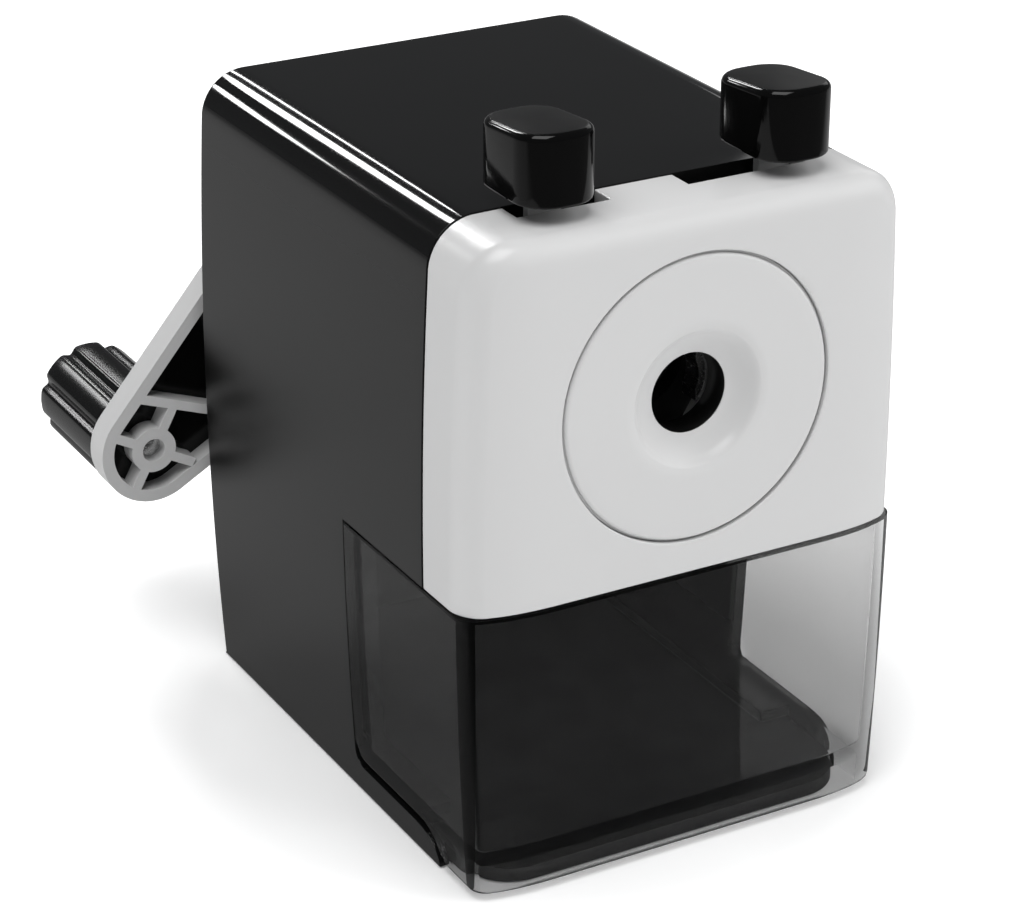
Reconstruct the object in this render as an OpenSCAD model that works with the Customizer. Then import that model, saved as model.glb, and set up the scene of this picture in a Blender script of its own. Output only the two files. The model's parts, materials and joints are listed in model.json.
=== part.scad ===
// Hand-cranked desk pencil sharpener with a sprung pull-out carriage, a pinch
// chuck, a geared helical cutter and a clear shavings drawer.
// Millimetres. +Z is up and the front faces -Y. The origin is the centre of
// the underside, on the surface that the feet rest on.

/* [Housing] */
// Width of the housing at mid height
body_w = 65; // [64:0.5:68]
// Depth from the front edge of the side panels to the back
body_d = 77; // [76.5:0.1:78]
// Height of the housing
body_h = 90; // [89.5:0.1:91]
// How far each side pulls in at the top and at the bottom
side_bow = 1.5; // [1:0.1:1.8]
// Radius of the two long top edges
top_r = 6.5; // [6:0.5:7.5]
// Thickness of the moulded walls
wall = 2; // [1.8:0.1:2.1]
// Height of the pencil axis
axis_z = 65.2; // [65:0.1:65.4]

/* [Front] */
// Height of the joint between the front cover and the drawer
split_z = 41.3; // [41:0.1:41.5]
// Depth of the strip by which the front cover wraps round each side
strip_d = 10.2; // [10:0.1:10.5]
// How far the front face stands out past its own side edges
face_bulge = 2.4; // [2:0.1:2.6]
// Gap left round parts that move
play = 0.3; // [0.3:0.05:0.35]
// Radius of the round plate in the front cover
disc_r = 19.1; // [18.8:0.1:19.3]
// Radius of the pencil hole
hole_r = 5.3; // [5:0.1:5.5]
// Radius of the dish that leads into the pencil hole
dish_r = 8.9; // [8.5:0.1:9.2]

/* [Drawer] */
// Depth of the clear side of the drawer, front edge to back edge
window_d = 32.7; // [32.5:0.1:33]
// Height of the housing's strip below the clear side
sill_z = 4.2; // [4:0.1:4.3]
// Thickness of the drawer's walls
drawer_wall = 1.8; // [1.6:0.1:2]
// How far the drawer slides out
drawer_travel = 60; // [40:1:60]

/* [Carriage] */
// How far the front cover pulls out
carriage_travel = 38; // [30:1:38]
// Radius of the two steel guide rods
rod_r = 2; // [1.9:0.05:2]
// Sideways place of the guide rods
rod_x = 24.5; // [24.3:0.1:24.7]
// Height of the guide rods
rod_z = 49.5; // [49.3:0.1:49.7]
// Distance from the middle to the left pinch knob
knob_left_x = 16.7; // [16.6:0.1:17.5]
// Distance from the middle to the right pinch knob
knob_right_x = 17.4; // [17.2:0.1:17.5]
// Height of the pivot that both pinch levers share
pivot_z = 47; // [46.8:0.1:47.2]

/* [Cutter] */
// Radius of the helical cutter
cutter_r = 8; // [7.8:0.1:8]
// Angle between the cutter and the pencil axis, half the point's angle
cutter_tilt = 10; // [9.5:0.1:10.2]
// Teeth on the cutter's pinion
pinion_teeth = 16; // [16:1:16]
// Teeth inside the fixed ring gear
ring_teeth = 32; // [32:1:32]

/* [Crank] */
// Distance from the shaft to the crank's handle
crank_r = 50.4; // [48:0.1:52]
// Direction of the arm seen from the front, anticlockwise from +X
crank_angle = 219.7; // [200:0.1:240]
// Length of the fluted handle
grip_len = 20; // [18:0.5:22]
// Radius of the fluted handle
grip_r = 7.8; // [7.5:0.1:8]

/* [Hidden] */
$fn = 64;
front_y = -body_d / 2;
back_y = body_d / 2;
face_y = front_y - face_bulge;
seam_y = front_y + strip_d;
window_y = front_y + window_d;
foot_h = 0.25;
floor_z = foot_h + wall;
rail_z = sill_z;
shelf_z = split_z + 1.2;
cut = 0.01;

// Pinch levers: two flat plates, one behind the other
lever_t = 1.2;
stem_w = 4.6;
lever_left_y = front_y + 7.2;
lever_right_y = lever_left_y + lever_t + 0.2;
plate_y = lever_right_y + lever_t + 1.1;
plate_t = 2.5;

// Inner frame, cutter carrier and gears, front to back
bulkhead_y = -19;
bulkhead_t = 2.5;
carrier_front_y = -15;
carrier_t = 4;
pinion_y = 25.5;
pinion_r = 7.7;
ring_r = pinion_r * ring_teeth / pinion_teeth;
ring_front_y = 24.9;
rear_plate_y = 29.6;
rear_plate_t = 3;
shaft_r = 4;
running_gap = 0.05;
nose_r = 8.4;
pin_r = 1.5;

// Crank, front to back
arm_y = 43;
arm_t = 4.5;
arm_cover_y = arm_y + 3.1;
arm_hub_r = 17;
arm_end_r = 8;
grip_y = arm_y + arm_t + 0.6;
crank_x = crank_r * cos(crank_angle);
crank_z = axis_z + crank_r * sin(crank_angle);

// ---------------------------------------------------------------- helpers

// Half the housing's width at height z
function half_w(z) = body_w / 2 - side_bow * pow((z - body_h / 2) / (body_h / 2), 2);

// Right half of the housing's outline seen from the front, from z0 up
function half_section(inset, z0) = let (corner_z = body_h - top_r, steps = 6) concat(
  [for (i = [0 : steps]) let (z = z0 + i * (corner_z - z0) / steps) [half_w(z) - inset, z]],
  [for (a = [15 : 15 : 90])
    [half_w(corner_z) - top_r + (top_r - inset) * cos(a), corner_z + (top_r - inset) * sin(a)]]
);

// Mirrors an open half outline about the middle, so that it closes
function both_halves(half) = concat(
  half,
  [for (i = [len(half) - 1 : -1 : 0]) [-half[i][0], half[i][1]]]
);

// Front face seen from above: flat in the middle, curving back at the edges
function face_at(x) = let (flat = 18, edge = max(abs(x) - flat, 0) / (body_w / 2 - flat))
  face_y + face_bulge * pow(edge, 3);

// Rear edge of the cover's top, which reaches furthest back in the middle
function top_seam_at(x) = seam_y + 0.7 * (1 - pow(x / (body_w / 2), 2));

// Extrudes an outline drawn in X and Z along Y
module along_y(y0, y1) {
  translate([0, y1, 0])
    rotate([90, 0, 0])
      linear_extrude(y1 - y0)
        children();
}

// Extrudes an outline drawn in Y and Z along X, over the whole width
module along_x(width) {
  translate([-width / 2, 0, 0])
    rotate([90, 0, 90])
      linear_extrude(width)
        children();
}

// The housing's section between two Y places
module section_block(inset, y0, y1, z0) {
  along_y(y0, y1)
    polygon(both_halves(half_section(inset, z0)));
}

// A round bar along Y
module rod_y(r, y0, y1, x = 0, z = 0) {
  translate([x, y1, z])
    rotate([90, 0, 0])
      cylinder(r = r, h = y1 - y0);
}

// The block behind the front face: curved in front, straight behind
module face_block(inset, y_back, z0, z1) {
  reach = body_w / 2 + 1;
  steps = 22;
  translate([0, 0, z0])
    linear_extrude(z1 - z0)
      polygon(concat(
        [for (i = [-steps : steps]) let (x = i * reach / steps) [x, face_at(x) + inset]],
        [[reach, y_back], [-reach, y_back]]
      ));
}

// Repeats its children on both sides of the middle
module both_sides() {
  children();
  mirror([1, 0, 0])
    children();
}

// A pan-head screw along +Y: the head ends at y, the shank goes on from there
module screw_y(x, y, z, head_r, head_h, shank_r, length) {
  rod_y(head_r, y - head_h, y, x, z);
  rod_y(shank_r, y - cut, y + length, x, z);
}

// Outline of a spur gear with z teeth; phase is the direction of one tooth
module gear_outline(teeth, root_r, tip_r, root_part, tip_part, phase) {
  pitch = 360 / teeth;
  polygon([
    for (i = [0 : teeth - 1], p = [[root_r, -root_part], [tip_r, -tip_part],
                                   [tip_r, tip_part], [root_r, root_part]])
      let (a = phase + pitch * (i + p[1])) [p[0] * cos(a), p[0] * sin(a)]
  ]);
}

// Puts its children in the cutter's own frame, with Y along the cutter's axis
module at_cutter() {
  translate([0, pinion_y, axis_z + pinion_r])
    rotate([-cutter_tilt, 0, 0])
      children();
}

// Places children at the crank's hub, turned so that +X runs along the arm
module at_crank() {
  translate([0, 0, axis_z])
    rotate([0, -crank_angle, 0])
      children();
}

// ---------------------------------------------------------------- housing

// Side view of the housing: the notch takes the cover, the step the drawer
module housing_side() {
  sill_front = front_y + 15;
  sill_tip = front_y + 8.8;
  polygon(concat(
    [[back_y, foot_h], [back_y, body_h], [seam_y, body_h], [seam_y, split_z],
     [window_y, split_z], [window_y, sill_z]],
    [for (a = [90 : 15 : 180])
      [sill_front + (sill_front - sill_tip) * cos(a), foot_h + (sill_z - foot_h) * sin(a)]]
  ));
}

module housing() {
  color("#202022")
    difference() {
      union() {
        difference() {
          intersection() {
            section_block(0, front_y, back_y, foot_h);
            along_x(body_w + 2)
              housing_side();
          }
          section_block(wall, front_y - 1, back_y - wall, -1);
          top_seam_cut();
        }
        both_sides() {
          side_rail(rail_z - floor_z, floor_z, front_y + 17);
          side_rail(shelf_z - split_z, split_z, bulkhead_y);
          rod_y(2.5, 33, back_y - wall + cut, 24, 81);
          rear_post();
        }
      }
      rod_y(7, back_y - wall - 1, back_y + 1, 0, axis_z);
      both_sides() {
        for (y = [-17, 31])
          translate([26.4, y, 0])
            cylinder(r = 1.2, h = 9);
        for (y = [12, 31])
          translate([27.6, y, split_z - 1])
            cylinder(r = 1.2, h = 3);
      }
      for (a = [90, 210, 330])
        rod_y(1, back_y - wall - 1, back_y - 0.6, 20.3 * cos(a), axis_z + 20.3 * sin(a));
    }
}

// The curved front edge of the housing's top
module top_seam_cut() {
  reach = body_w / 2 + 1;
  steps = 12;
  translate([0, 0, body_h - top_r])
    linear_extrude(top_r + 1)
      polygon(concat(
        [for (i = [-steps : steps]) let (x = i * reach / steps) [x, top_seam_at(x) + play]],
        [[reach, front_y - 1], [-reach, front_y - 1]]
      ));
}

// A ledge along the inside of the right wall, up to the back wall
module side_rail(height, z, y0) {
  intersection() {
    translate([24.4, y0, z])
      cube([10, back_y - wall - y0 + cut, height]);
    section_block(wall - cut, front_y, back_y, 0);
  }
}

// The post behind the drawer that a rear base screw is driven into
module rear_post() {
  intersection() {
    translate([24, 27, rail_z - cut])
      cube([8, back_y - wall - 27 + cut, 6]);
    section_block(wall - cut, front_y, back_y, 0);
  }
}

// Floor of the housing: between the side walls, and on under the drawer's front
module base_plate() {
  tongue_w = 57;
  tongue_y = front_y + 0.7;
  tongue_r = 7;
  color("#2a2a2c")
    difference() {
      union() {
        intersection() {
          section_block(wall + 0.1, front_y + 16, back_y - wall - 0.1, 0);
          translate([-body_w, -body_d, foot_h])
            cube([2 * body_w, 2 * body_d, wall]);
        }
        translate([0, 0, foot_h])
          linear_extrude(wall)
            hull() {
              for (x = [-1, 1])
                translate([x * (tongue_w / 2 - tongue_r), tongue_y + tongue_r])
                  circle(r = tongue_r);
              translate([-tongue_w / 2, front_y + 17])
                square([tongue_w, 1]);
            }
      }
      both_sides() {
        for (y = [-17, 31])
          translate([26.4, y, -1]) {
            cylinder(r = 1.25, h = 5);
            cylinder(r = 2.2, h = 2.6);
          }
        for (y = [-22, 22])
          translate([21, y, -1])
            cylinder(r = 4, h = 2.6);
      }
    }
}

module rubber_feet() {
  color("#3a3a3a")
    both_sides()
      for (y = [-22, 22])
        translate([21, y, 0])
          cylinder(r = 4, h = 1.6);
}

module base_screws() {
  color("silver")
    both_sides()
      for (y = [-17, 31])
        translate([26.4, y, 0.6]) {
          cylinder(r = 2, h = 1);
          cylinder(r = 1.2, h = 3.4);
        }
}

// ---------------------------------------------------------------- inner frame

// Shelf over the drawer, the bulkhead that carries the cutter's nose, and the
// two long guides that the carriage's rods slide in
module inner_frame() {
  chute_w = 34;
  guide_back = 6;
  color("#8b8d90")
    difference() {
      union() {
        intersection() {
          translate([-body_w, bulkhead_y, shelf_z])
            cube([2 * body_w, back_y - wall - 2.7 - bulkhead_y, 2]);
          section_block(wall + 0.2, front_y, back_y, 0);
        }
        along_y(bulkhead_y, bulkhead_y + bulkhead_t)
          polygon([[-28.5, shelf_z + cut], [28.5, shelf_z + cut], [28.5, 77], [19, 86],
                   [-19, 86], [-28.5, 77]]);
        both_sides() {
          rod_y(4.2, bulkhead_y, guide_back, rod_x, rod_z);
          translate([rod_x - 3, bulkhead_y, shelf_z + cut])
            cube([6, guide_back - bulkhead_y, rod_z - shelf_z]);
        }
      }
      translate([-chute_w / 2, -11, shelf_z - 1])
        cube([chute_w, 34, 4]);
      rod_y(nose_r + running_gap, bulkhead_y - 1, bulkhead_y + bulkhead_t + 1, 0, axis_z);
      both_sides() {
        rod_y(rod_r + 0.03, bulkhead_y - 1, guide_back + 1, rod_x, rod_z);
        rod_y(3.4, bulkhead_y - 1, bulkhead_y + bulkhead_t + 1, 24, 81);
        for (y = [12, 31])
          translate([27.6, y, shelf_z - 1])
            cylinder(r = 1.25, h = 6);
      }
    }
}

module frame_screws() {
  color("silver")
    both_sides()
      for (y = [12, 31])
        translate([27.6, y, shelf_z - 1.1]) {
          cylinder(r = 1.2, h = 3.6);
          translate([0, 0, 3.1])
            cylinder(r = 2, h = 1.5);
        }
}

// Fixed internal gear: a cup screwed to the back wall
module ring_gear() {
  ring_outer_r = 18.5;
  color("#b9bbbe")
    difference() {
      union() {
        rod_y(ring_outer_r, ring_front_y, back_y - wall, 0, axis_z);
        rod_y(22, back_y - wall - 2, back_y - wall, 0, axis_z);
      }
      translate([0, 0, axis_z])
        along_y(ring_front_y - 1, ring_front_y + 7)
          difference() {
            circle(r = 16.9);
            for (i = [0 : ring_teeth - 1])
              rotate(90 + (i + 0.5) * 360 / ring_teeth)
                polygon([[17.5, -0.95], [14.8, -0.4], [14.8, 0.4], [17.5, 0.95]]);
          }
      rod_y(16.9, ring_front_y + 7 - cut, back_y - wall - 2, 0, axis_z);
      rod_y(9.2, back_y - wall - 3, back_y, 0, axis_z);
      for (a = [90, 210, 330])
        rod_y(1.05, back_y - wall - 3, back_y, 20.3 * cos(a), axis_z + 20.3 * sin(a));
    }
}

module gear_screws() {
  color("silver")
    for (a = [90, 210, 330])
      screw_y(20.3 * cos(a), back_y - wall - 2, axis_z + 20.3 * sin(a), 1.6, 1.4, 1, 3.2);
}

module rear_bush() {
  color("#d8d3c4")
    difference() {
      union() {
        rod_y(9, back_y - wall - 2, back_y - wall, 0, axis_z);
        rod_y(7, back_y - wall - cut, back_y + 2.2, 0, axis_z);
      }
      rod_y(shaft_r + running_gap, back_y - wall - 3, back_y + 3, 0, axis_z);
    }
}

// ---------------------------------------------------------------- crank

module crank_shaft() {
  color("silver")
    difference() {
      rod_y(shaft_r, rear_plate_y + 0.6, arm_y + arm_t, 0, axis_z);
      rod_y(1.6, arm_y - 4, arm_y + arm_t + 1, 0, axis_z);
    }
}

// Outline of the arm: a round hub and a round end joined by their tangents
module arm_outline(inset) {
  tilt = acos((arm_hub_r - arm_end_r) / crank_r);
  hub = arm_hub_r - inset;
  tip = arm_end_r - inset;
  steps = 30;
  polygon(concat(
    [for (i = [0 : steps]) let (a = tilt + i * (360 - 2 * tilt) / steps) [hub * cos(a), hub * sin(a)]],
    [for (i = [0 : steps]) let (a = -tilt + i * 2 * tilt / steps)
      [crank_r + tip * cos(a), tip * sin(a)]]
  ));
}

// Zigzag ribs and the two ringed bosses between the sides of the arm
module arm_ribs() {
  rib = 1.4;
  zigzag = [[9, 0], [20, 12], [29, -10], [37, 8.6], [crank_r - 4, -7.6]];
  circle(r = 9);
  for (a = [100, 180, 260])
    rotate(a)
      translate([0, -rib / 2])
        square([arm_hub_r - 1, rib]);
  translate([crank_r, 0])
    circle(r = 3.4);
  for (i = [0 : len(zigzag) - 2])
    let (a = zigzag[i], b = zigzag[i + 1], d = b - a)
      translate(a)
        rotate(atan2(d[1], d[0]))
          translate([-rib / 2, -rib / 2])
            square([norm(d) + rib, rib]);
  translate([crank_r, 0])
    for (a = [0 : 90 : 270])
      rotate(a + 22)
        translate([0, -rib / 2])
          square([arm_end_r - 1, rib]);
}

// Arm with a rim and ribs, open between them
module crank_arm() {
  rim = 1.8;
  color("#d9dadc")
    difference() {
      at_crank()
        difference() {
          along_y(arm_y, arm_y + arm_t)
            arm_outline(0);
          along_y(arm_y - 1, arm_y + arm_t + 1)
            difference() {
              arm_outline(rim);
              arm_ribs();
            }
          along_y(arm_cover_y, arm_y + arm_t + 1)
            arm_outline(0.9);
        }
      rod_y(shaft_r, arm_y - 1, arm_y + arm_t + 1, 0, axis_z);
      rod_y(1.75, arm_y - 1, arm_y + arm_t + 1, crank_x, crank_z);
    }
}

// Black plate set into the outer side of the arm
module arm_cover() {
  color("#1a1a1a")
    difference() {
      at_crank()
        along_y(arm_cover_y, arm_y + arm_t)
          arm_outline(1);
      rod_y(shaft_r + 0.1, arm_y - 1, arm_y + arm_t + 1, 0, axis_z);
      rod_y(1.85, arm_y - 1, arm_y + arm_t + 1, crank_x, crank_z);
    }
}

module crank_screw() {
  color("silver")
    difference() {
      union() {
        rod_y(5.6, arm_y + arm_t, arm_y + arm_t + 2, 0, axis_z);
        rod_y(1.6, arm_y - 4, arm_y + arm_t + cut, 0, axis_z);
      }
      translate([-3.5, arm_y + arm_t + 1.2, axis_z - 0.5])
        cube([7, 2, 1]);
    }
}

module knob_pin() {
  color("silver") {
    rod_y(1.75, arm_y + 2, arm_y + arm_t + cut, crank_x, crank_z);
    rod_y(2, arm_y + arm_t, grip_y + grip_len - 3.5, crank_x, crank_z);
    rod_y(3, grip_y + grip_len - 3.5 - cut, grip_y + grip_len - 2, crank_x, crank_z);
  }
}

// Handle with eight rounded flutes that spins on its pin
module crank_knob() {
  flutes = 8;
  color("#1a1a1a")
    difference() {
      rod_y(grip_r, grip_y, grip_y + grip_len, crank_x, crank_z);
      for (i = [0 : flutes - 1])
        let (a = (i + 0.5) * 360 / flutes, r = grip_r + 1.1)
          rod_y(2, grip_y - 1, grip_y + grip_len + 1,
                crank_x + r * cos(a), crank_z + r * sin(a));
      rod_y(2 + running_gap, grip_y - 1, grip_y + grip_len, crank_x, crank_z);
      rod_y(3.5, grip_y + grip_len - 3.8, grip_y + grip_len + 1, crank_x, crank_z);
    }
}

module knob_plug() {
  color("#1a1a1a")
    rod_y(3.5, grip_y + grip_len - 1.2, grip_y + grip_len, crank_x, crank_z);
}

// ---------------------------------------------------------------- cutter

// Turning cage: front ring with its bearing nose, a half shell and a rear disc
module cutter_carrier() {
  color("#a7a9ac")
    difference() {
      union() {
        rod_y(17.5, carrier_front_y, carrier_front_y + carrier_t, 0, axis_z);
        rod_y(nose_r, bulkhead_y - 0.4, carrier_front_y + cut, 0, axis_z);
        rod_y(13.6, rear_plate_y, rear_plate_y + rear_plate_t, 0, axis_z);
        translate([0, carrier_front_y + carrier_t - cut, axis_z])
          rotate([-90, 0, 0])
            rotate(35)
              rotate_extrude(angle = 110)
                translate([11, 0])
                  square([2.5, rear_plate_y - carrier_front_y - carrier_t + 2 * cut]);
      }
      rod_y(5, bulkhead_y - 1, carrier_front_y + carrier_t + 1, 0, axis_z);
      rod_y(shaft_r, rear_plate_y + 0.6, rear_plate_y + rear_plate_t + 1, 0, axis_z);
      at_cutter()
        rod_y(pin_r, -43, 7.5);
    }
}

module cutter_pin() {
  color("silver")
    at_cutter()
      rod_y(pin_r, -40.5, 6);
}

// Cylinder with twisted blades that shaves the pencil to a cone
module helical_cutter() {
  blades = 14;
  length = 31;
  color("#c9ccd0")
    at_cutter()
      difference() {
        translate([0, -3.2, 0])
          rotate([90, 0, 0])
            linear_extrude(length, twist = 80, slices = 14)
              gear_outline(blades, cutter_r - 1.4, cutter_r, 0.28, 0.09, 90);
        rod_y(pin_r + running_gap, -length - 4, 0);
      }
}

module cutter_pinion() {
  color("#b59a54")
    at_cutter()
      difference() {
        along_y(-2.6, 2.2)
          gear_outline(pinion_teeth, 6.5, 8.5, 0.25, 0.11, 90);
        rod_y(pin_r + running_gap, -4, 4);
      }
}

// ---------------------------------------------------------------- carriage

// Grey shell over the upper front, with a notch under each pinch knob
module front_cover() {
  notch_left_in = 7.6;
  notch_right_in = 3.7;
  notch_out = 20.7;
  notch_y = front_y + 6.9;
  edge_r = 3;
  color("#d4d5d7")
    difference() {
      union() {
        difference() {
          intersection() {
            section_block(0, face_y - 1, seam_y + 4, split_z);
            face_block(0, seam_y + 4, split_z, body_h + 1);
            front_top_edge(edge_r, 0);
          }
          intersection() {
            section_block(wall, face_y, seam_y + 5, split_z - 1);
            face_block(wall, seam_y + 5, split_z - 1, body_h - wall);
          }
          cover_rear_cut();
        }
        both_sides() {
          cover_post(27, 58);
          cover_post(27, 73);
        }
      }
      rod_y(disc_r + 0.4, face_y - 1, face_y + wall + 0.1, 0, axis_z);
      translate([-notch_out, notch_y, body_h - 6])
        cube([notch_out - notch_left_in, 10, 8]);
      translate([notch_right_in, notch_y, body_h - 6])
        cube([notch_out - notch_right_in, 10, 8]);
      both_sides() {
        rod_y(1.1, plate_y - 8, plate_y + 1, 27, 58);
        rod_y(1.1, plate_y - 8, plate_y + 1, 27, 73);
      }
    }
}

// Everything behind the rounded top edge of the front face
module front_top_edge(r, y_back) {
  along_x(body_w + 2)
    polygon(concat(
      [[seam_y + 5, split_z], [face_y, split_z]],
      [for (a = [180 : -15 : 90]) [face_y + r + r * cos(a), body_h - r + r * sin(a)]],
      [[seam_y + 5, body_h]]
    ));
}

// Takes away what lies behind the cover's curved top seam and straight side seams
module cover_rear_cut() {
  reach = body_w / 2 + 1;
  steps = 12;
  translate([0, 0, body_h - top_r])
    linear_extrude(top_r + 1)
      polygon(concat(
        [for (i = [-steps : steps]) let (x = i * reach / steps) [x, top_seam_at(x)]],
        [[reach, seam_y + 6], [-reach, seam_y + 6]]
      ));
  translate([-reach, seam_y - play, split_z - 1])
    cube([2 * reach, 10, body_h - top_r - split_z + 1 + cut]);
}

// A post on the back of the cover that the carriage plate is screwed to
module cover_post(x, z) {
  rod_y(2.6, face_at(x) + wall - 0.4, plate_y, x, z);
}

// Round plate with the dished pencil hole
module face_disc() {
  color("#cfd0d2")
    difference() {
      union() {
        rod_y(disc_r, face_y, face_y + wall + cut, 0, axis_z);
        rod_y(disc_r + 2, face_y + wall + 0.1, face_y + wall + 1.6, 0, axis_z);
        rod_y(disc_r, face_y + wall, face_y + wall + 0.2, 0, axis_z);
        rod_y(7, face_y + wall + 1.6 - cut, face_y + 6.5, 0, axis_z);
      }
      rod_y(hole_r, face_y - 1, face_y + 8, 0, axis_z);
      translate([0, face_y, axis_z])
        rotate([-90, 0, 0])
          translate([0, 0, -cut])
            cylinder(r1 = dish_r, r2 = hole_r, h = 2.2);
    }
}

// Spring clip that keeps the round plate in the cover
module disc_clip() {
  color("silver")
    difference() {
      rod_y(9.5, face_y + wall + 1.6, face_y + wall + 2.4, 0, axis_z);
      rod_y(7, face_y + wall, face_y + wall + 4, 0, axis_z);
    }
}

// Plate behind the levers that holds the rods, the pivot and the springs
module carriage_plate() {
  half = 29;
  color("#6f7174")
    difference() {
      along_y(plate_y, plate_y + plate_t)
        difference() {
          intersection() {
            polygon(both_halves(half_section(wall + 0.6, split_z + 1)));
            translate([-half, split_z + 1])
              square([2 * half, body_h - split_z - 6]);
          }
          translate([0, axis_z])
            circle(r = 6);
        }
      both_sides() {
        rod_y(rod_r, plate_y - 1, plate_y + plate_t + 1, rod_x, rod_z);
        rod_y(1.2, plate_y - 1, plate_y + plate_t + 1, 27, 58);
        rod_y(1.2, plate_y - 1, plate_y + plate_t + 1, 27, 73);
      }
      rod_y(2.2, plate_y - 1, plate_y + plate_t + 1, 0, pivot_z);
    }
}

module cover_screws() {
  y = plate_y + plate_t;
  color("silver")
    both_sides()
      for (p = [[27, 58], [27, 73]]) {
        rod_y(1.1, y - 8, y + cut, p[0], p[1]);
        rod_y(1.9, y, y + 1.2, p[0], p[1]);
      }
}

module guide_rods() {
  color("silver")
    both_sides()
      rod_y(rod_r, plate_y - 0.8, back_y - wall - 1, rod_x, rod_z);
}

module rod_clips() {
  color("silver")
    both_sides()
      difference() {
        rod_y(3.2, plate_y - 0.8, plate_y, rod_x, rod_z);
        rod_y(rod_r, plate_y - 1, plate_y + 1, rod_x, rod_z);
      }
}

// Two tension springs that draw the carriage back in
module carriage_springs() {
  color("silver")
    both_sides()
      difference() {
        rod_y(2.4, plate_y + plate_t, 33, 24, 81);
        rod_y(1.8, plate_y + plate_t - 1, 34, 24, 81);
      }
}

// ---------------------------------------------------------------- pinch chuck

module pivot_pin() {
  color("silver") {
    rod_y(2.2, lever_left_y - 2.8, plate_y + plate_t, 0, pivot_z);
    rod_y(4.2, lever_left_y - 3.8, lever_left_y - 2.8 + cut, 0, pivot_z);
  }
}

// Torsion spring on the pivot that presses the two jaws together
module lever_spring() {
  color("silver")
    difference() {
      rod_y(3.6, lever_left_y - 2.7, lever_left_y - 0.2, 0, pivot_z);
      rod_y(2.5, lever_left_y - 3, lever_left_y, 0, pivot_z);
    }
}

// A lever drawn for the left knob: up its own side of the hole to the knob,
// and from the pivot to the jaw on the far side of the hole
module lever_outline(knob_x) {
  stem_in = knob_x - stem_w / 2;
  stem_out = knob_x + stem_w / 2;
  translate([0, pivot_z])
    circle(r = 5.2);
  polygon([
    [-2, pivot_z + 4], [-13, 53], [-16.5, 58], [-16.5, 76], [-stem_in, 83], [-stem_in, 97],
    [-stem_out, 97], [-stem_out, 82], [-20.2, 77], [-20.2, 56.5], [-14, 48.5], [-2, pivot_z - 5]
  ]);
  polygon([[-2, pivot_z], [5, pivot_z], [9.5, 60], [9.5, 69], [6, 69], [6, 60]]);
}

module lever_plate(y, knob_x) {
  difference() {
    along_y(y, y + lever_t)
      lever_outline(knob_x);
    rod_y(2.2 + running_gap, y - 1, y + lever_t + 1, 0, pivot_z);
  }
}

module lever_left() {
  color("#77797c")
    lever_plate(lever_left_y, knob_left_x);
}

module lever_right() {
  color("#77797c")
    mirror([1, 0, 0])
      lever_plate(lever_right_y, knob_right_x);
}

// Gripping jaw on the right of the hole: a bent steel tab with a hollow tip
module jaw(y_fix) {
  difference() {
    translate([3.7, lever_left_y - 3, axis_z - 3.5])
      cube([5.6, y_fix - lever_left_y + 3, 7]);
    translate([5.7, lever_left_y - 1.9, axis_z - 4])
      cube([5, 10 + cut, 8]);
    rod_y(4.2, lever_left_y - 5, y_fix + 1, 0, axis_z);
  }
  translate([5.7 - cut, y_fix - 0.9, axis_z - 3.5])
    cube([3.4, 0.9, 7]);
}

module jaw_left() {
  color("#e6e7e8")
    jaw(lever_left_y);
}

module jaw_right() {
  color("#e6e7e8")
    mirror([1, 0, 0])
      jaw(lever_right_y);
}

// Rounded push knob on top of a lever, drawn for the left side; its top falls
// slightly towards the back
module pinch_knob(lever_y, knob_x) {
  w = 10.6;
  d = 15;
  r = 4.4;
  z0 = 92.3;
  z_front = 102;
  z_back = 100.8;
  y_mid = front_y + 8.8;
  difference() {
    intersection() {
      translate([-knob_x, y_mid, z0])
        linear_extrude(z_front - z0)
          union() {
            square([w - 2 * r, d], center = true);
            square([w, d - 2 * r], center = true);
            for (x = [-1, 1], y = [-1, 1])
              translate([x * (w / 2 - r), y * (d / 2 - r)])
                circle(r = r);
          }
      along_x(2 * body_w)
        polygon([
          [y_mid - d / 2, z0], [y_mid - d / 2, z_front],
          [y_mid + d / 2, z_back], [y_mid + d / 2, z0]
        ]);
    }
    translate([-knob_x - stem_w / 2, lever_y, z0 - 1])
      cube([stem_w, lever_t, 97 - z0 + 1]);
  }
}

module pinch_knob_left() {
  color("#0f0f10")
    pinch_knob(lever_left_y, knob_left_x);
}

module pinch_knob_right() {
  color("#0f0f10")
    mirror([1, 0, 0])
      pinch_knob(lever_right_y, knob_right_x);
}

// ---------------------------------------------------------------- drawer

// Side view of the drawer's wide front part, which clears the housing's sill
module drawer_side(inset) {
  sill_front = front_y + 15;
  sill_tip = front_y + 8.8;
  bottom = foot_h + 0.4;
  polygon(concat(
    [[front_y - 5, bottom + inset], [front_y - 5, split_z - play]],
    [[window_y - play, split_z - play], [window_y - play, sill_z + play + inset]],
    [for (a = [90 : 15 : 180])
      [sill_front - play + (sill_front - sill_tip) * cos(a),
       bottom + inset + (sill_z + play - bottom) * sin(a)]]
  ));
}

module drawer() {
  tail_y = 24;
  low = sill_z + play;
  high = split_z - play;
  inset = wall + 0.4;
  t = drawer_wall;
  color([0.45, 0.46, 0.48, 0.45])
    difference() {
      union() {
        intersection() {
          section_block(0, face_y - 1, window_y - play, 0);
          face_block(0, window_y, 0, high);
          along_x(body_w + 2)
            drawer_side(0);
        }
        drawer_tail(inset, window_y - play - cut, tail_y, low, high);
      }
      intersection() {
        section_block(t, face_y - 1, window_y - play - t, 0);
        face_block(t, window_y, low + t, high + 1);
      }
      drawer_tail(inset + t, window_y - play - t - cut, tail_y - t, low + t, high + 1);
      intersection() {
        section_block(t, face_y - 1, window_y - play - t, -1);
        face_block(t, window_y, -1, low);
      }
    }
}

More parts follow.
